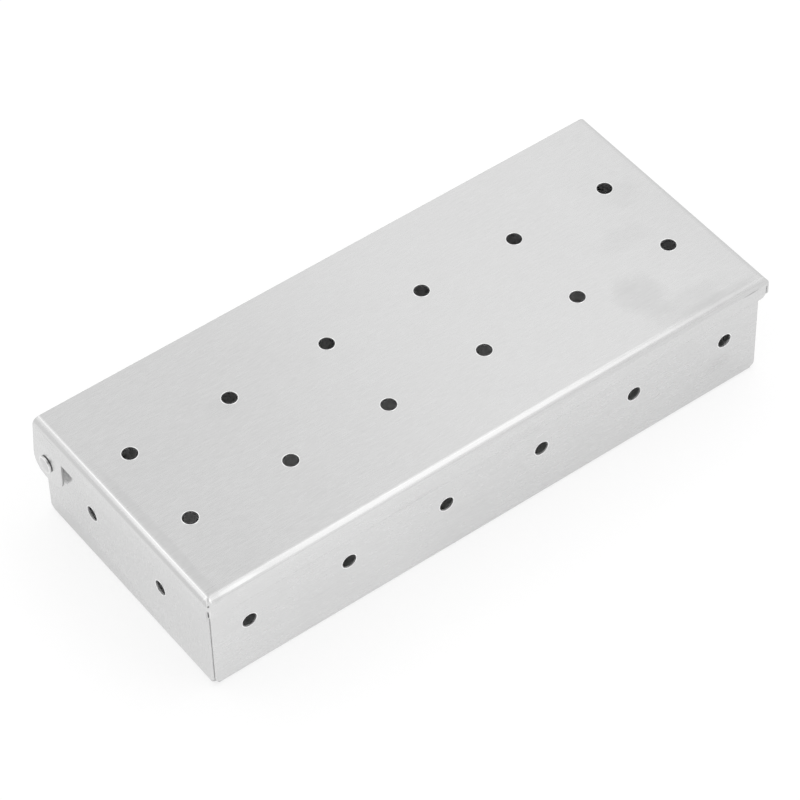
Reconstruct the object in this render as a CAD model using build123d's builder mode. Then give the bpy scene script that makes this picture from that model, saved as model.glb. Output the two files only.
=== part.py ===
from build123d import *
from math import sqrt
import os

# A smoker box for a grill: a folded steel tray that holds wood chips, and a perforated lid
# that turns on two rivets near its rear edge.
# Sizes are in millimetres. X runs along the box, Y from the front to the hinge side, Z is up.
# The origin is the middle of the face that the tray stands on.

# The sheet, and the outer radius of its folds
sheet = 0.6
tray_bend = 2.0
lid_bend = 2.5

# The tray: its outer length and width, and the height of the closed box over the lid
tray_length = 207.4
tray_width = 87.6
box_height = 41.1
corner_relief = 2.0
seam_gap = 0.05
rim_slope_length = 10.0

# The lid: what it stands off the tray at the ends, and how far it reaches past it at the rear
end_gap = 1.2
rear_overhang = 1.1
flange_depth = 8.0
flange_corner_round = 1.8
corner_slit = 0.45
slit_tip = 0.35
slit_land = 3.4

# The holes that let the smoke out
hole_diameter = 5.0
holes_along = 6
holes_across = 2
end_hole_margin = 13.7
lid_row_spacing = 31.4
end_wall_hole_spacing = 36.0
wall_hole_height = 21.4

# The hinge line, measured from the rear face of the tray and from the top of the lid
hinge_inset = 4.6
hinge_drop = 15.0
pivot_clearance = 0.08
hinge_play = 0.05

# What stays free between lid and tray: over the rims when it is closed, and over the rear rim
# and past the front rim as it swings
rest_gap = 0.4
rear_clearance = 0.4
front_clearance = 0.1

# The ears of the lid, measured from the hinge line
ear_front = 8.6
ear_rear = 7.2
ear_below = 7.0
ear_front_round = 7.0
ear_rear_round = 5.4
ear_root_round = 0.6

# The rivets and the washers that space the ears off the tray
shank_diameter = 3.2
shank_fit = 0.02
head_diameter = 5.8
head_height = 1.2
head_rim = 0.8
tail_diameter = 5.0
tail_height = 0.8
tail_rim = 0.3
washer_diameter = 7.0

# How far a cut runs on past what it cuts
overrun = 5.0

# Places that follow from the sizes above
lid_underside = box_height - sheet
rim_height = lid_underside - rest_gap
flange_bottom = box_height - flange_depth
front_face = -tray_width / 2
rear_face = tray_width / 2
seam_inset = sheet + seam_gap
hole_pitch = (tray_length - 2 * end_hole_margin) / (holes_along - 1)

hinge_y = rear_face - hinge_inset
hinge_z = box_height - hinge_drop
rim_above_hinge = rim_height - hinge_z
flange_above_hinge = flange_bottom - hinge_z

# The rear rim is as high as the underside of the lid lets it be as the lid swings over it
rear_rim_height = hinge_z + sqrt((lid_underside - hinge_z - rear_clearance) ** 2 - hinge_inset**2)

# The front flange stands off far enough for its lower edge to pass the front rim
front_reach = hinge_y - front_face
front_swing = (front_reach + front_clearance) ** 2 + rim_above_hinge**2 - flange_above_hinge**2
front_gap = sqrt(front_swing) - front_reach

lid_length = tray_length + 2 * (end_gap + sheet)
lid_front = front_face - front_gap - sheet
lid_rear = rear_face + rear_overhang
lid_fold_bottom = box_height - lid_bend

shank_radius = shank_diameter / 2
head_radius = head_diameter / 2
tail_radius = tail_diameter / 2

os.makedirs("parts", exist_ok=True)

# Tray: one blank with all four walls folded up. The walls stop where their inner edges meet,
# so that every corner is an open seam with a small notch outside.
with BuildPart() as tray:
    # The floor with the long walls, then with the end walls, each short of the corner relief
    for plane, width, length in (
        (Plane.YZ, tray_width, tray_length),
        (Plane.XZ, tray_length, tray_width),
    ):
        with BuildSketch(plane):
            with BuildLine():
                fold = FilletPolyline(
                    (-width / 2, rim_height),
                    (-width / 2, 0),
                    (width / 2, 0),
                    (width / 2, rim_height),
                    radius=tray_bend,
                )
                offset(fold, amount=sheet, side=Side.LEFT)
            make_face()
        extrude(amount=length / 2 - corner_relief, both=True)

    # The walls on past the folds to the seams, with their lower corners rounded off
    wall_middle = (rim_height + tray_bend) / 2
    wall_rise = rim_height - tray_bend
    for side in (-1, 1):
        for plane, inward, wall_length in (
            (Plane.XZ.offset(-side * rear_face), side, tray_length - 2 * seam_inset),
            (Plane.YZ.offset(side * tray_length / 2), -side, tray_width - 2 * seam_inset),
        ):
            with BuildSketch(plane) as wall:
                with Locations((0, wall_middle)):
                    Rectangle(wall_length, wall_rise)
                fillet(wall.vertices().group_by(Axis.Y)[0], corner_relief - seam_inset)
            extrude(amount=inward * sheet)

    # The rear rim is lower, and the end walls slope down to it, so that the lid can swing over
    with BuildSketch(Plane.YZ):
        with BuildLine():
            Polyline(
                (rear_face - rim_slope_length, rim_height),
                (rear_face - sheet, rear_rim_height),
                (rear_face + overrun, rear_rim_height),
                (rear_face + overrun, rim_height),
                close=True,
            )
        make_face()
    extrude(amount=tray_length, both=True, mode=Mode.SUBTRACT)

    # Smoke holes in the long walls
    with BuildSketch(Plane.XZ):
        with Locations((0, wall_hole_height)):
            with GridLocations(hole_pitch, hole_pitch, holes_along, 1):
                Circle(hole_diameter / 2)
    extrude(amount=tray_width, both=True, mode=Mode.SUBTRACT)

    # Smoke holes and rivet holes in the end walls
    with BuildSketch(Plane.YZ):
        with Locations((0, wall_hole_height)):
            with GridLocations(end_wall_hole_spacing, end_wall_hole_spacing, holes_across, 1):
                Circle(hole_diameter / 2)
        with Locations((hinge_y, hinge_z)):
            Circle(shank_radius + shank_fit)
    extrude(amount=tray_length, both=True, mode=Mode.SUBTRACT)

tray.part.label = "tray"
export_step(tray.part, "parts/tray.step")

# Lid: a panel folded down at the front and at both ends, cut off straight at the rear.
# The end flanges drop into ears at the hinge.
with BuildPart() as lid:
    # The folded panel, hollowed to the sheet's thickness and open below and at the rear
    with BuildSketch(Plane.XY.offset(flange_bottom)):
        with Locations((0, (lid_front + lid_rear) / 2)):
            Rectangle(lid_length, lid_rear - lid_front)
    extrude(amount=flange_depth)
    fillet(lid.faces().sort_by(Axis.Z)[-1].edges().sort_by(Axis.Y)[:-1], lid_bend)
    offset(amount=-sheet, openings=[lid.faces().sort_by(Axis.Z)[0], lid.faces().sort_by(Axis.Y)[-1]])

    # The ears, each round below and running up the rear end of its flange
    for side in (-1, 1):
        with BuildSketch(Plane.YZ.offset(side * lid_length / 2)) as ear:
            with BuildLine():
                Polyline(
                    (hinge_y - ear_front, lid_fold_bottom),
                    (hinge_y - ear_front, hinge_z - ear_below),
                    (hinge_y + ear_rear, hinge_z - ear_below),
                    (hinge_y + ear_rear, hinge_z),
                    (lid_rear, lid_fold_bottom),
                    close=True,
                )
            make_face()
            fillet(ear.vertices().group_by(Axis.Y)[0].sort_by(Axis.X)[0], ear_front_round)
            fillet(ear.vertices().group_by(Axis.Y)[0].sort_by(Axis.X)[-1], ear_rear_round)
        extrude(amount=-side * sheet)

    # The slits that part the front flange from the end flanges, a little narrower at the top
    slit_top = box_height - slit_land
    with BuildSketch(Plane.XZ.offset(-lid_front)):
        for side in (-1, 1):
            slit_side = side * (lid_length / 2 - sheet)
            with BuildLine():
                Polyline(
                    (slit_side, flange_bottom),
                    (slit_side, slit_top),
                    (slit_side - side * slit_tip, slit_top),
                    (slit_side - side * corner_slit, flange_bottom),
                    close=True,
                )
            make_face()
    extrude(amount=-lid_bend, mode=Mode.SUBTRACT)

    # Rounded lower corners of the flanges, and the root of each ear
    lowest_of_flange = lid.edges().filter_by_position(Axis.Z, flange_bottom, flange_bottom)
    short_edges = lowest_of_flange.filter_by(lambda edge: edge.length < 2 * sheet)
    fillet(short_edges.filter_by_position(Axis.Y, lid_front, front_face), flange_corner_round)
    ear_roots = lid.edges().filter_by(Axis.X).filter_by_position(Axis.Z, flange_bottom, flange_bottom)
    fillet(ear_roots.filter_by_position(Axis.Y, 0, rear_face), ear_root_round)

    # Smoke holes in the panel
    with BuildSketch(Plane.XY.offset(lid_underside)):
        with GridLocations(hole_pitch, lid_row_spacing, holes_along, holes_across):
            Circle(hole_diameter / 2)
    extrude(amount=sheet, both=True, mode=Mode.SUBTRACT)

    # Pivot holes in the ears
    with BuildSketch(Plane.YZ):
        with Locations((hinge_y, hinge_z)):
            Circle(shank_radius + pivot_clearance)
    extrude(amount=lid_length, both=True, mode=Mode.SUBTRACT)

lid.part.label = "lid"
export_step(lid.part, "parts/lid.step")

# Hinge hardware, the same at both ends, on planes whose first axis points out of the box
wall_inside = tray_length / 2 - sheet
wall_outside = tray_length / 2
head_seat = lid_length / 2 + hinge_play
washer_thickness = end_gap - hinge_play

for side, end_name in ((-1, "left"), (1, "right")):
    pivot_plane = Plane(origin=(0, hinge_y, hinge_z), x_dir=(side, 0, 0), z_dir=(0, -side, 0))

    # Rivet: a shank with a low domed head outside and a formed tail inside
    with BuildPart() as rivet:
        with BuildSketch(pivot_plane):
            with BuildLine():
                TangentArc((wall_inside - tail_height, 0), (wall_inside - tail_rim, tail_radius), tangent=(0, 1))
                Polyline(
                    (wall_inside - tail_rim, tail_radius),
                    (wall_inside, tail_radius),
                    (wall_inside, shank_radius),
                    (head_seat, shank_radius),
                    (head_seat, head_radius),
                    (head_seat + head_rim, head_radius),
                )
                TangentArc((head_seat + head_height, 0), (head_seat + head_rim, head_radius), tangent=(0, 1))
                Line((head_seat + head_height, 0), (wall_inside - tail_height, 0))
            make_face()
        revolve(axis=Axis((0, hinge_y, hinge_z), (1, 0, 0)))
    rivet.part.label = f"hinge_rivet_{end_name}"
    export_step(rivet.part, f"parts/hinge_rivet_{end_name}.step")

    # Washer: it lies on the end wall and keeps the ear clear of it
    with BuildPart() as washer:
        with BuildSketch(Plane.YZ.offset(side * wall_outside)):
            with Locations((hinge_y, hinge_z)):
                Circle(washer_diameter / 2)
                Circle(shank_radius + pivot_clearance, mode=Mode.SUBTRACT)
        extrude(amount=side * washer_thickness)
    washer.part.label = f"hinge_washer_{end_name}"
    export_step(washer.part, f"parts/hinge_washer_{end_name}.step")
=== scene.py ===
# Grill smoker box: finishes, rolled hole edges, floor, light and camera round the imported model.
# Lengths are in metres. X runs along the box, Y towards the hinge, Z up, as in the model.
import bpy
import math
from mathutils import Matrix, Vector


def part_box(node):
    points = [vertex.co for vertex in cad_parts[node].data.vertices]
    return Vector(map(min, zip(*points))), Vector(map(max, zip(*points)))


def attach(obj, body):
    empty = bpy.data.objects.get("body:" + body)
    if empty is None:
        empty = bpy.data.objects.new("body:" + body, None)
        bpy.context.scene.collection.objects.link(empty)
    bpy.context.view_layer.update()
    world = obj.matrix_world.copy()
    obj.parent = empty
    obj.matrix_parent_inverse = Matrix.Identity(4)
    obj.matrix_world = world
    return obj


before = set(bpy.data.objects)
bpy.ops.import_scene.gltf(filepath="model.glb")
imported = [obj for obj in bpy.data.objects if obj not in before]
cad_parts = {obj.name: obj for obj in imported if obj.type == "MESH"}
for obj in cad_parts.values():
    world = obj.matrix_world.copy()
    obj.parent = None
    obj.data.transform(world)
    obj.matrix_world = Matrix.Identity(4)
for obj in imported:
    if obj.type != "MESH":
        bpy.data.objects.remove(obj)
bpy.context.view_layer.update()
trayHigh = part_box("tray")[1]
lidLow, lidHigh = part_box("lid")
scene = bpy.context.scene
print("frame loaded:", ", ".join(sorted(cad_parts)))


# One output of a node, which can be used in plain sums
class Signal:
    def __init__(self, maker, socket):
        self.maker = maker
        self.socket = socket

    def apply(self, operation, *others):
        inputs = dict(enumerate((self, *others)))
        return self.maker.take("ShaderNodeMath", 0, {"operation": operation}, inputs)

    def applyLast(self, operation, other):
        return self.maker.take("ShaderNodeMath", 0, {"operation": operation}, {0: other, 1: self})

    def __add__(self, other):
        return self.apply("ADD", other)

    def __radd__(self, other):
        return self.applyLast("ADD", other)

    def __sub__(self, other):
        return self.apply("SUBTRACT", other)

    def __rsub__(self, other):
        return self.applyLast("SUBTRACT", other)

    def __mul__(self, other):
        return self.apply("MULTIPLY", other)

    def __rmul__(self, other):
        return self.applyLast("MULTIPLY", other)

    def __truediv__(self, other):
        return self.apply("DIVIDE", other)

    def __pow__(self, other):
        return self.apply("POWER", other)

    def __lt__(self, other):
        return self.apply("LESS_THAN", other)

    def __gt__(self, other):
        return self.apply("GREATER_THAN", other)

    def __abs__(self):
        return self.apply("ABSOLUTE")

    # 0 below low, 1 above high, and a soft rise between them
    def rise(self, low, high):
        settings = {"interpolation_type": "SMOOTHSTEP"}
        values = {"Value": self, "From Min": low, "From Max": high}
        return self.maker.take("ShaderNodeMapRange", 0, settings, values)


# Adds nodes to one tree: settings first, then the values or links of the inputs
class NodeMaker:
    def __init__(self, tree):
        self.tree = tree

    def node(self, kind, settings=None, values=None):
        made = self.tree.nodes.new(kind)
        for name, setting in (settings or {}).items():
            setattr(made, name, setting)
        for name, value in (values or {}).items():
            for one in value if isinstance(value, list) else [value]:
                if isinstance(one, Signal):
                    self.tree.links.new(one.socket, made.inputs[name])
                else:
                    made.inputs[name].default_value = one
        return made

    def take(self, kind, output, settings=None, values=None):
        return Signal(self, self.node(kind, settings, values).outputs[output])

    # Fractal noise that swings about zero
    def swing(self, vector, noise):
        scale, detail, roughness = noise
        values = {"Vector": vector, "Scale": scale, "Detail": detail, "Roughness": roughness}
        return self.take("ShaderNodeTexNoise", 0, None, values) - 0.5

    def vector(self, x, y, z):
        return self.take("ShaderNodeCombineXYZ", 0, None, {0: x, 1: y, 2: z})

    def split(self, vector):
        parts = self.node("ShaderNodeSeparateXYZ", None, {0: vector})
        return [Signal(self, socket) for socket in parts.outputs]

    def grey(self, tone):
        return self.take("ShaderNodeCombineColor", 0, None, {0: tone, 1: tone, 2: tone})

    # Facing with the sharp edges softened
    def rounded(self, look):
        settings = {"samples": look["edgeSamples"]}
        return self.take("ShaderNodeBevel", 0, settings, {"Radius": look["edgeRound"]})

    # A metal surface from its tone, and what its other sockets get
    def metal(self, tone, values):
        values = {"Base Color": self.grey(tone)} | values
        shader = self.take("ShaderNodeBsdfPrincipled", 0, None, values)
        self.node("ShaderNodeOutputMaterial", None, {"Surface": shader})


def newMaterial(name):
    material = bpy.data.materials.new(name)
    material.use_nodes = True
    material.node_tree.nodes.clear()
    return material, NodeMaker(material.node_tree)


# What the brushed sheets share. A noise is its scale, detail and roughness, and the tone and
# roughness beside it are how far it swings. A face that lies across a line is below edgeFacing.
brushedSheet = {
    "thickness": 0.0006,
    "margin": 0.0001,
    "edgeFacing": 0.5,
    "endFacing": (0.5, 0.85),
    "tone": 0.665,
    "roughness": 0.26,
    "grainAcross": 1700.0,
    "grainAlong": 210.0,
    "grainNoise": (1.0, 3.0, 0.65),
    "grainShare": 0.6,
    "fineAcross": 2.1,
    "fineAlong": 2.3,
    "fineNoise": (1.0, 2.0, 0.6),
    "fineShare": 0.4,
    "grainTone": 0.24,
    "grainRough": 0.16,
    "grainHeight": 0.0000018,
    "cloudNoise": (22.0, 4.0, 0.55),
    "cloudTone": 0.04,
    "cloudRough": 0.04,
    "mottleNoise": (110.0, 3.0, 0.6),
    "mottleTone": 0.03,
    "markNoise": (160.0, 3.0, 0.6),
    "markRagged": 1.2,
    "markRough": 0.5,
    "innerTone": 0.96,
    "innerEndTone": 0.96,
    "innerCloud": 0.06,
    "innerRoughness": 0.36,
    "innerMetallic": 0.75,
    "cutTone": 1.3,
    "cutRoughness": 0.5,
    "edgeRound": 0.00016,
    "edgeSamples": 4,
}
traySheet = brushedSheet | {"fold": 0.002, "innerFloor": 0.0045}
lidSheet = brushedSheet | {
    "fold": 0.0025,
    "innerTone": 0.76,
    "innerEndTone": 1.0,
    "innerRoughness": 0.42,
    "innerMetallic": 1.0,
    "cutTone": 0.95,
}

# Soft marks: middle, half sizes and strength. A mark of negative strength is paler. Some are smudges; most
# are painted shade or painted highlights.
lidSmudgesAndPaintedLight = (
    # Finger marks on the panel
    ((0.0695, -0.0275, 0.041), (0.0105, 0.0115, 0.02), 0.07),
    ((0.0675, -0.0215, 0.041), (0.005, 0.0035, 0.02), 0.02),
    ((0.080, -0.005, 0.041), (0.012, 0.006, 0.02), 0.03),
    ((0.092, 0.010, 0.041), (0.009, 0.007, 0.02), 0.03),
    ((-0.057, 0.014, 0.041), (0.007, 0.005, 0.02), 0.03),
    # Painted shade on the panel next to the right end of the front fold
    ((0.080, -0.039, 0.041), (0.020, 0.007, 0.02), 0.05),
    # A little less bright towards the ends of the panel: painted shade
    ((-0.120, -0.030, 0.041), (0.055, 0.090, 0.003), 0.03),
    ((0.115, -0.010, 0.041), (0.050, 0.060, 0.003), 0.015),
    # A dark streak along the front fold, near its right end
    ((0.0984, -0.0454, 0.0383), (0.0042, 0.0008, 0.0004), 0.32),
    # The front left corner: painted shade for a dot, for the crease above it and for the slit's sides below
    # it, and a painted highlight on the front flange's end beside the slit
    ((-0.10432, -0.0448, 0.0395), (0.0006, 0.0007, 0.0005), 0.9),
    ((-0.10230, -0.04230, 0.04110), (0.0005, 0.0005, 0.0008), 0.1),
    ((-0.10265, -0.04285, 0.04105), (0.00055, 0.00055, 0.0008), 0.14),
    ((-0.10297, -0.04330, 0.04105), (0.00055, 0.00055, 0.0008), 0.26),
    ((-0.10330, -0.04378, 0.04091), (0.00045, 0.00045, 0.00045), 0.3),
    ((-0.10363, -0.04417, 0.04065), (0.0004, 0.0004, 0.0004), 0.32),
    ((-0.10392, -0.04450, 0.04027), (0.00045, 0.00045, 0.00045), 0.1),
    ((-0.10455, -0.0451, 0.0357), (0.0003, 0.0009, 0.0018), 0.6),
    ((-0.10395, -0.0454, 0.0362), (0.0002, 0.0006, 0.0022), -0.15),
    # Darker places low on the front flange
    ((-0.030, -0.0454, 0.0334), (0.012, 0.001, 0.0012), 0.05),
    ((0.010, -0.0454, 0.0345), (0.010, 0.001, 0.003), 0.03),
    # Painted shade on the front edges of the ears, and painted highlights along the inner lines of the folds
    ((-0.1052, 0.0306, 0.026), (0.0006, 0.0012, 0.009), 0.2),
    ((0.1052, 0.0306, 0.026), (0.0006, 0.0012, 0.009), 0.2),
    ((-0.103, 0.0, 0.0411), (0.0005, 0.10, 0.002), -0.19),
    ((-0.02, -0.04295, 0.0411), (0.12, 0.0005, 0.002), -0.16),
    # The left fold: painted shade before it, on its rear part and as a faint line under it
    ((-0.1008, -0.020, 0.0411), (0.0022, 0.055, 0.003), 0.07),
    ((-0.1038, 0.025, 0.04095), (0.00045, 0.040, 0.0004), 0.08),
    ((-0.1054, 0.0365, 0.0389), (0.001, 0.006, 0.00025), 0.12),
    # The front fold: painted highlights along its left part, and painted shade that narrows its highlight
    # along the middle and dulls its right end
    ((-0.094, -0.0442, 0.0407), (0.012, 0.0008, 0.0008), -0.12),
    ((0.030, -0.0445, 0.0405), (0.100, 0.0004, 0.0004), 0.09),
    ((-0.070, -0.04505, 0.03985), (0.100, 0.0005, 0.0005), -0.08),
    ((0.088, -0.0437, 0.0409), (0.020, 0.0014, 0.002), 0.05),
    ((0.088, -0.0420, 0.0411), (0.020, 0.0022, 0.002), 0.06),
    ((0.080, -0.0453, 0.03915), (0.13, 0.0006, 0.0008), 0.07),
    # Painted shade on the rear of the left flange
    ((-0.1054, 0.030, 0.036), (0.002, 0.020, 0.004), 0.03),
)
trayMarksAndPaintedLight = (
    ((-0.033, -0.0436, 0.034), (0.006, 0.005, 0.003), 0.03),
    ((0.012, -0.0436, 0.033), (0.005, 0.005, 0.003), 0.03),
    ((0.088, -0.0436, 0.012), (0.007, 0.005, 0.004), 0.04),
    # The shade that the flange leaves along the front wall
    ((0.0, -0.0438, 0.0328), (0.12, 0.0006, 0.0006), 0.03),
    # Painted shade along the front wall's lower fold, and on the rear and the foot of the left end wall
    ((-0.040, -0.0436, 0.0012), (0.130, 0.0012, 0.0016), 0.04),
    ((-0.1037, 0.034, 0.018), (0.002, 0.022, 0.030), 0.03),
    ((-0.1037, 0.020, 0.003), (0.003, 0.040, 0.007), 0.05),
    # A painted highlight on that wall, in front of the ear, that lightens the shade there
    ((-0.1037, 0.0309, 0.0270), (0.002, 0.0022, 0.0028), -0.35),
)


# How strongly one soft mark shows at a place, with a ragged outline
def markAt(x, y, z, ragged, mark):
    (middleX, middleY, middleZ), (halfX, halfY, halfZ), strength = mark
    offset = ((x - middleX) / halfX) ** 2 + ((y - middleY) / halfY) ** 2 + ((z - middleZ) / halfZ) ** 2
    return (1 - (offset + ragged).rise(0.0, 1.0)) * (1 + ragged) * strength


# Steel sheet that is brushed outside, with a grain that runs along the blank, and left as milled inside,
# where its paler tone is partly painted light that brightens the inside of the box. The masks find its inner
# side and its sheared edges.
def brushedSteel(name, look, innerMask, cutMask, marks):
    material, maker = newMaterial(name)
    coordinates = maker.node("ShaderNodeTexCoord")
    place = Signal(maker, coordinates.outputs["Object"])
    x, y, z = maker.split(place)
    facing = maker.split(Signal(maker, coordinates.outputs["Normal"]))
    onEnd = abs(facing[0]).rise(*look["endFacing"])

    # The grain follows the blank, so it stands upright on the folded ends
    along = (x + z * onEnd) * look["grainAlong"]
    across = y * look["grainAcross"]
    height = z * (1 - onEnd) * look["grainAcross"]
    grain = maker.swing(maker.vector(along, across, height), look["grainNoise"])
    finer = maker.vector(
        along * look["fineAlong"], across * look["fineAcross"], height * look["fineAcross"])
    fineGrain = maker.swing(finer, look["fineNoise"])
    brushing = grain * look["grainShare"] + fineGrain * look["fineShare"]
    clouds = maker.swing(place, look["cloudNoise"])
    mottle = maker.swing(place, look["mottleNoise"])
    ragged = maker.swing(place, look["markNoise"]) * look["markRagged"]
    marksAndPaintedLight = sum(markAt(x, y, z, ragged, mark) for mark in marks)

    inner = innerMask(look, (x, y, z), facing)
    cut = cutMask(look, (x, y, z), facing)
    unevenness = brushing * look["grainTone"] + clouds * look["cloudTone"] + mottle * look["mottleTone"]
    tone = (1 + unevenness - marksAndPaintedLight) * look["tone"]
    # The paler inner tone is partly painted light for the inside of the box
    innerTone = look["innerTone"] + onEnd * (look["innerEndTone"] - look["innerTone"])
    tone = tone * (1 - inner) + (clouds * look["innerCloud"] + innerTone) * inner
    tone = tone * (1 - cut) + (1 - marksAndPaintedLight) * (look["tone"] * look["cutTone"]) * cut
    rough = look["roughness"] + brushing * look["grainRough"] + clouds * look["cloudRough"]
    rough = rough + marksAndPaintedLight * look["markRough"]
    rough = rough * (1 - inner) + look["innerRoughness"] * inner
    rough = rough * (1 - cut) + look["cutRoughness"] * cut

    rounded = maker.rounded(look)
    relief = maker.take("ShaderNodeBump", 0, None, {
        "Strength": 1.0, "Distance": look["grainHeight"], "Height": brushing, "Normal": rounded})
    metallic = 1.0
    if look["innerMetallic"] < metallic:
        metallic = 1 - inner * (1 - look["innerMetallic"])
    maker.metal(tone, {"Metallic": metallic, "Roughness": rough, "Normal": relief})
    return material


# Walls that face into the box: there the outward place and the facing are opposed
def facesInward(place, facing):
    wellInside = -0.005
    return place[0] * facing[0] + place[1] * facing[1] < wellInside


# The inner side of the tray, with the upper side of its floor
def trayInside(look, place, facing):
    onFloor = (facing[2] > look["edgeFacing"]) * (place[2] < look["innerFloor"])
    return (facesInward(place, facing) + onFloor).apply("MINIMUM", 1.0)


# The inner side of the lid, with its underside
def lidInside(look, place, facing):
    return (facesInward(place, facing) + (facing[2] < -look["edgeFacing"])).apply("MINIMUM", 1.0)


# Sheared edges of the tray: rims, wall ends and the walls of its holes
def trayCuts(look, place, facing):
    within = look["thickness"] + look["margin"]
    limit = look["edgeFacing"]
    onLong = abs(place[1]) > trayHigh[1] - within
    onEnd = (abs(place[0]) > trayHigh[0] - within) * (1 - onLong)
    aboveFold = place[2] > look["fold"] + look["margin"] / 2
    return (onLong * (abs(facing[1]) < limit) + onEnd * (abs(facing[0]) < limit)) * aboveFold


# Sheared edges of the lid: flange edges, ears, rear edge and the walls of its holes
def lidCuts(look, place, facing):
    within = look["thickness"] + look["margin"]
    fold = look["fold"] + look["margin"]
    limit = look["edgeFacing"]
    onEnd = (abs(place[0]) > lidHigh[0] - within) * (abs(facing[0]) < limit)
    onFront = (place[1] < lidLow[1] + within) * (abs(place[0]) < lidHigh[0] - within)
    flanges = (onEnd + onFront * (abs(facing[1]) < limit)) * (place[2] < lidHigh[2] - fold)
    onTop = (place[2] > lidHigh[2] - within) * (abs(facing[2]) < limit)
    return flanges + onTop * (place[1] > lidLow[1] + fold) * (abs(place[0]) < lidHigh[0] - fold)


lidSteel = brushedSteel("lidSteel", lidSheet, lidInside, lidCuts, lidSmudgesAndPaintedLight)
traySteel = brushedSteel("traySteel", traySheet, trayInside, trayCuts, trayMarksAndPaintedLight)
print("brushed sheets done")

# Turned and pressed small parts: fine rings round the hinge line, a painted highlight on the rim, and
# painted shade in the joint under the rivet heads
rivetLook = {
    "hingeY": 0.0392,
    "hingeZ": 0.0261,
    "tone": 0.62,
    "roughness": 0.24,
    "ringsPerMetre": 2400.0,
    "sidesPerMetre": 900.0,
    "ringNoise": (1.0, 2.0, 0.5),
    "ringTone": 0.06,
    "wearNoise": (700.0, 4.0, 0.6),
    "wearTone": 0.12,
    "wearRough": 0.2,
    "reliefHeight": 0.000002,
    "headSeat": 0.10555,
    "seatMargin": 0.0001,
    "paintedShadeReach": (0.00012, 0.0002),
    "paintedJointShade": 0.88,
    "rimRadius": (0.0024, 0.0028),
    "rimProud": (0.0002, 0.0004),
    "rimHighlightTone": 0.4,
    "edgeRound": 0.0003,
    "edgeSamples": 4,
}
washerLook = rivetLook | {"roughness": 0.34, "paintedJointShade": 0.0, "rimHighlightTone": 0.0}


def turnedSteel(name, look):
    material, maker = newMaterial(name)
    place = maker.take("ShaderNodeTexCoord", "Object")
    x, y, z = maker.split(place)
    radius = ((y - look["hingeY"]) ** 2 + (z - look["hingeZ"]) ** 2) ** 0.5
    turned = maker.vector(radius * look["ringsPerMetre"], x * look["sidesPerMetre"], 0.0)
    rings = maker.swing(turned, look["ringNoise"])
    wear = maker.swing(place, look["wearNoise"])
    proud = abs(x) - look["headSeat"]
    # Painted shade in the joint under the heads, and a painted highlight on their rim
    paintedJointShade = (1 - proud.rise(*look["paintedShadeReach"])) * (proud > -look["seatMargin"]) * look["paintedJointShade"]
    rimHighlight = radius.rise(*look["rimRadius"]) * proud.rise(*look["rimProud"]) * look["rimHighlightTone"]
    tone = look["tone"] * (1 + rings * look["ringTone"] + wear * look["wearTone"] + rimHighlight) * (1 - paintedJointShade)
    rounded = maker.rounded(look)
    relief = maker.take("ShaderNodeBump", 0, None, {
        "Strength": 1.0, "Distance": look["reliefHeight"], "Height": rings + wear, "Normal": rounded})
    maker.metal(tone, {
        "Metallic": 1.0, "Roughness": look["roughness"] + wear * look["wearRough"], "Normal": relief})
    return material


rivetSteel = turnedSteel("rivetSteel", rivetLook)
washerSteel = turnedSteel("washerSteel", washerLook)
finishes = {
    "lid": lidSteel, "tray": traySteel,
    "hinge_rivet_left": rivetSteel, "hinge_rivet_right": rivetSteel,
    "hinge_washer_left": washerSteel, "hinge_washer_right": washerSteel,
}
for nodeName, finish in finishes.items():
    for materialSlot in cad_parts[nodeName].material_slots:
        materialSlot.material = finish
print("hardware done")

# The punch leaves a low rolled bead round every smoke hole, on both faces of the sheet
holeEdges = {
    "holeRadius": 0.0025,
    "pitch": 0.036,
    "lidRowSpacing": 0.0314,
    "wallHeight": 0.0214,
    "lidHoles": (6, 2),
    "longWallHoles": (6, 1),
    "endWallHoles": (2, 1),
    "sheetThickness": 0.0006,
    "beadSpread": 0.00018,
    "beadWidth": 0.00018,
    "beadHeight": 0.00011,
    "segments": 48,
    "beadSides": 8,
    "tone": 0.9,
    "roughness": 0.22,
    "nickNoise": (1500.0, 3.0, 0.6),
    "nickTone": 0.16,
    "nickRough": 0.2,
    "nickHeight": 0.000004,
}


# Bead material: metal smeared by the punch, with small nicks, in a paler tone that is partly a painted
# highlight
def smearedSteel(name, look):
    material, maker = newMaterial(name)
    place = maker.take("ShaderNodeTexCoord", "Object")
    nicks = maker.swing(place, look["nickNoise"])
    relief = maker.take("ShaderNodeBump", 0, None, {
        "Strength": 1.0, "Distance": look["nickHeight"], "Height": nicks})
    maker.metal((1 + nicks * look["nickTone"]) * look["tone"], {
        "Metallic": 1.0, "Roughness": look["roughness"] + nicks * look["nickRough"], "Normal": relief})
    return material


# The rows of holes of the lid and of the tray, each once on the outer and once on the inner face.
# A row is its middle, its turn in degrees, its holes along and across, and their pitches.
def holeRows(look):
    lidRows, trayRows = [], []
    lidPitches, wallPitches = (look["pitch"], look["lidRowSpacing"]), (look["pitch"], 0.0)
    for sunk in (0.0, look["sheetThickness"]):
        lidRows.append(((0.0, 0.0, lidHigh[2] - sunk), (0, 0, 0), look["lidHoles"], lidPitches))
        for side in (-1, 1):
            longFace = (0.0, side * (trayHigh[1] - sunk), look["wallHeight"])
            endFace = (side * (trayHigh[0] - sunk), 0.0, look["wallHeight"])
            trayRows.append((longFace, (90, 0, 0), look["longWallHoles"], wallPitches))
            trayRows.append((endFace, (90, 0, 90), look["endWallHoles"], wallPitches))
    return lidRows, trayRows


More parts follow.
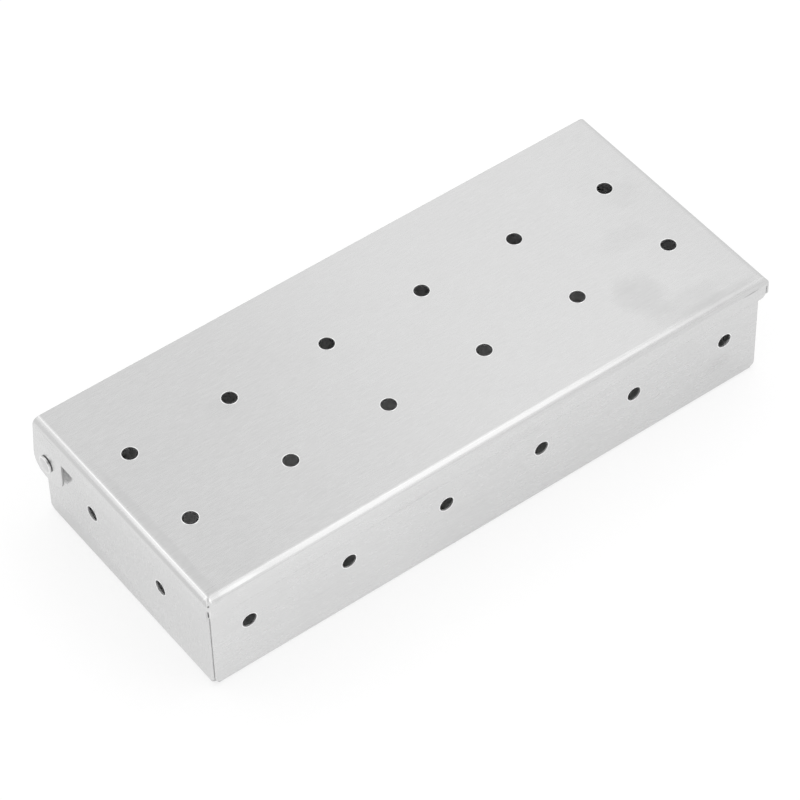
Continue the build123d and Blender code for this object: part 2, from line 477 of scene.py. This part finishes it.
# One tree lays a field of beads and adds it to what the modifiers before it made
def beadTree():
    tree = bpy.data.node_groups.new("rolledHoleEdges", "GeometryNodeTree")
    tree.interface.new_socket("Geometry", in_out="OUTPUT", socket_type="NodeSocketGeometry")
    kinds = {
        "Geometry": "Geometry", "Middle": "Vector", "Turn": "Vector", "Along": "Int", "Across": "Int",
        "Pitch Along": "Float", "Pitch Across": "Float", "Ring Radius": "Float", "Bead Width": "Float",
        "Flatness": "Float", "Segments": "Int", "Bead Sides": "Int", "Finish": "Material",
    }
    for name, kind in kinds.items():
        tree.interface.new_socket(name, in_out="INPUT", socket_type="NodeSocket" + kind)
    maker = NodeMaker(tree)
    given = {s.name: Signal(maker, s) for s in maker.node("NodeGroupInput").outputs if s.name in kinds}

    # A line of points along and one across make the field
    lines = []
    for axis, count, pitch in ((0, "Along", "Pitch Along"), (1, "Across", "Pitch Across")):
        step, start = [0.0] * 3, [0.0] * 3
        step[axis] = given[pitch]
        start[axis] = (given[count] - 1) * given[pitch] * -0.5
        lines.append(maker.take("GeometryNodeMeshLine", 0, {"mode": "OFFSET"}, {
            "Count": given[count], "Offset": maker.vector(*step), "Start Location": maker.vector(*start)}))
    field = maker.take("GeometryNodeInstanceOnPoints", 0, None, {"Points": lines[1], "Instance": lines[0]})
    field = maker.take("GeometryNodeRealizeInstances", 0, None, {"Geometry": field})

    # The bead is a ring of round section, pressed flat
    ring = maker.take("GeometryNodeCurvePrimitiveCircle", 0, None, {
        "Resolution": given["Segments"], "Radius": given["Ring Radius"]})
    section = maker.take("GeometryNodeCurvePrimitiveCircle", 0, None, {
        "Resolution": given["Bead Sides"], "Radius": given["Bead Width"]})
    bead = maker.take("GeometryNodeCurveToMesh", 0, None, {"Curve": ring, "Profile Curve": section})
    bead = maker.take("GeometryNodeTransform", 0, None, {
        "Geometry": bead, "Scale": maker.vector(1.0, 1.0, given["Flatness"])})

    beads = maker.take("GeometryNodeInstanceOnPoints", 0, None, {"Points": field, "Instance": bead})
    placed = maker.take("GeometryNodeTransform", 0, None, {
        "Geometry": beads, "Translation": given["Middle"], "Rotation": given["Turn"]})
    solid = maker.take("GeometryNodeRealizeInstances", 0, None, {"Geometry": placed})
    finished = maker.take("GeometryNodeSetMaterial", 0, None, {
        "Geometry": solid, "Material": given["Finish"]})
    smooth = maker.take("GeometryNodeSetShadeSmooth", 0, None, {"Geometry": finished})
    joined = maker.take("GeometryNodeJoinGeometry", 0, None, {"Geometry": [smooth, given["Geometry"]]})
    maker.node("NodeGroupOutput", None, {"Geometry": joined})
    return tree


def makeHoleEdges(name, body, rows, look, tree, finish):
    worker = bpy.data.objects.new(name + "Worker", bpy.data.meshes.new(name + "Worker"))
    scene.collection.objects.link(worker)
    inputs = [item for item in tree.interface.items_tree if item.in_out == "INPUT"]
    identifiers = {item.name: item.identifier for item in inputs}
    shared = {
        "Ring Radius": look["holeRadius"] + look["beadSpread"], "Bead Width": look["beadWidth"],
        "Flatness": look["beadHeight"] / look["beadWidth"], "Segments": look["segments"],
        "Bead Sides": look["beadSides"], "Finish": finish,
    }
    for middle, turn, (along, across), (pitchAlong, pitchAcross) in rows:
        modifier = worker.modifiers.new("holeEdges", "NODES")
        modifier.node_group = tree
        values = shared | {
            "Middle": middle, "Turn": [math.radians(angle) for angle in turn],
            "Along": along, "Across": across, "Pitch Along": pitchAlong, "Pitch Across": pitchAcross,
        }
        for inputName, value in values.items():
            modifier[identifiers[inputName]] = value
    evaluated = worker.evaluated_get(bpy.context.evaluated_depsgraph_get())
    mesh = bpy.data.meshes.new_from_object(evaluated)
    worker.modifiers.clear()
    bpy.data.objects.remove(worker)
    piece = bpy.data.objects.new(name, mesh)
    scene.collection.objects.link(piece)
    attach(piece, body)
    print(name, len(mesh.polygons), "faces")


edgeTree = beadTree()
edgeSteel = smearedSteel("edgeSteel", holeEdges)
lidRows, trayRows = holeRows(holeEdges)
makeHoleEdges("lid_hole_edges", "lid", lidRows, holeEdges, edgeTree, edgeSteel)
makeHoleEdges("tray_hole_edges", "tray", trayRows, holeEdges, edgeTree, edgeSteel)
print("hole edges done")

# Studio: a white floor, an even white surround and five soft panels above the box.
# A panel's brightness is what it adds to the surround in a mirror, where 1 is plain white.
# A step of the mirrored floor is the axis that it follows, where it ends, and what it adds before.
studio = {
    "floorSize": 8.0,
    "floorTone": 0.35,
    "floorGlow": 0.7,
    "mirroredTone": 0.7,
    "mirroredGlow": 0.375,
    "mirroredSlope": (-0.4, -0.6),
    "mirroredRange": (-0.12, 0.045),
    "mirroredSteps": (
        (0, (-0.12, -0.09), -0.056),
        (0, (-0.045, 0.0), 0.038),
        (0, (0.06, 0.12), 0.035),
        (1, (-0.16, -0.1), -0.06),
    ),
    "surroundLight": 0.85,
    "surroundSeen": 0.92,
    "cameraSide": (-0.39, -0.54, 0.74),
    "cameraSpot": (0.93, 0.985),
    "cameraShade": 0.7,
    "glossyBounces": 12,
    "panels": {
        "overheadPanel": {"place": (0.26, -0.4, 0.6), "size": (0.29, 1.09), "turn": 9, "brightness": 0.62},
        "frontPanel": {"place": (0.47, -1.8, 0.6), "size": (0.4, 1.5), "turn": 9, "brightness": 0.26},
        "rearLeftPanel": {"place": (-0.27, 0.34, 0.6), "size": (0.57, 0.26), "turn": 12, "brightness": 0.62},
        "rearRightPanel": {"place": (0.385, 0.42, 0.6), "size": (0.27, 0.5), "turn": 0, "brightness": 0.2},
        "farRightPanel": {"place": (1.2, 0.85, 0.6), "size": (1.2, 0.9), "turn": 0, "brightness": 0.12},
    },
}


def seenRays(maker):
    rays = maker.node("ShaderNodeLightPath")
    names = ("Is Camera Ray", "Is Glossy Ray", "Is Transmission Ray")
    return [Signal(maker, rays.outputs[name]) for name in names]


def makeFloor(look):
    half = look["floorSize"] / 2
    corners = [(-half, -half, 0), (half, -half, 0), (half, half, 0), (-half, half, 0)]
    mesh = bpy.data.meshes.new("studioFloor")
    mesh.from_pydata(corners, [], [(0, 1, 2, 3)])
    floor = bpy.data.objects.new("studioFloor", mesh)
    scene.collection.objects.link(floor)
    material, maker = newMaterial("studioFloor")
    camera, glossy, through = seenRays(maker)
    place = maker.split(maker.take("ShaderNodeTexCoord", "Object"))
    slopeX, slopeY = look["mirroredSlope"]
    least, most = look["mirroredRange"]
    mirrored = (place[0] * slopeX + place[1] * slopeY).apply("MINIMUM", most).apply("MAXIMUM", least)
    for axis, (start, end), added in look["mirroredSteps"]:
        mirrored = mirrored + (1 - place[axis].rise(start, end)) * added

    # The floor reads white in the picture, and a little darker and uneven in the metal
    tone = camera * look["floorTone"] + (1 - camera) * look["mirroredTone"]
    lit = maker.take("ShaderNodeBsdfDiffuse", 0, None, {"Color": maker.grey(tone)})
    seen = camera * look["floorGlow"] + (glossy + through) * (mirrored + look["mirroredGlow"])
    glow = maker.take("ShaderNodeEmission", 0, None, {"Strength": seen})
    both = maker.take("ShaderNodeAddShader", 0, None, {0: lit, 1: glow})
    maker.node("ShaderNodeOutputMaterial", None, {"Surface": both})
    mesh.materials.append(material)


def makeSurround(look):
    world = bpy.data.worlds.new("studioSurround")
    world.use_nodes = True
    world.node_tree.nodes.clear()
    maker = NodeMaker(world.node_tree)
    camera, glossy, through = seenRays(maker)
    # The camera and its stand show in metal as a soft dark spot
    looking = maker.take("ShaderNodeTexCoord", "Generated")
    toward = maker.take("ShaderNodeVectorMath", "Value", {"operation": "DOT_PRODUCT"}, {
        0: looking, 1: look["cameraSide"]})
    shade = toward.rise(*look["cameraSpot"]) * look["cameraShade"]
    seen = (glossy * (1 - shade) + through) * look["surroundSeen"] + camera
    plain = 1 - (camera + glossy + through).apply("MINIMUM", 1.0)
    light = maker.take("ShaderNodeBackground", 0, None, {
        "Color": (1, 1, 1, 1), "Strength": seen + plain * look["surroundLight"]})
    maker.node("ShaderNodeOutputWorld", None, {"Surface": light})
    world.cycles.sampling_method = "NONE"  # so that the ray kinds above are told apart
    scene.world = world
    scene.cycles.glossy_bounces = look["glossyBounces"]  # light has to reach into the closed box


def makePanel(name, look):
    lamp = bpy.data.lights.new(name, "AREA")
    lamp.shape = "RECTANGLE"
    lamp.size, lamp.size_y = look["size"]
    lamp.energy = look["brightness"] * math.pi * lamp.size * lamp.size_y
    holder = bpy.data.objects.new(name, lamp)
    scene.collection.objects.link(holder)
    holder.location = look["place"]
    holder.rotation_euler = (0, 0, math.radians(look["turn"]))


makeFloor(studio)
makeSurround(studio)
for panelName, panel in studio["panels"].items():
    makePanel(panelName, panel)
print("studio done")

# The camera stands at the front left and looks down. Its angles are in degrees, its lens in mm.
view = {
    "place": (-0.448799, -0.623321, 0.870529),
    "azimuth": -35.5973,
    "elevation": 48.0126,
    "roll": -1.7078,
    "lens": 168.263,
    "sensor": 36.0,
    "near": 0.05,
    "far": 20.0,
}


def makeCamera(look):
    camera = bpy.data.cameras.new("studioCamera")
    camera.lens = look["lens"]
    camera.sensor_width = look["sensor"]
    camera.clip_start, camera.clip_end = look["near"], look["far"]
    holder = bpy.data.objects.new("studioCamera", camera)
    scene.collection.objects.link(holder)
    turn = Matrix.Rotation(math.radians(look["azimuth"]), 4, "Z")
    tilt = Matrix.Rotation(math.radians(90 - look["elevation"]), 4, "X")
    roll = Matrix.Rotation(math.radians(look["roll"]), 4, "Z")
    holder.matrix_world = Matrix.Translation(look["place"]) @ turn @ tilt @ roll
    scene.camera = holder


makeCamera(view)
scene.view_settings.view_transform = "Standard"
print("camera done")
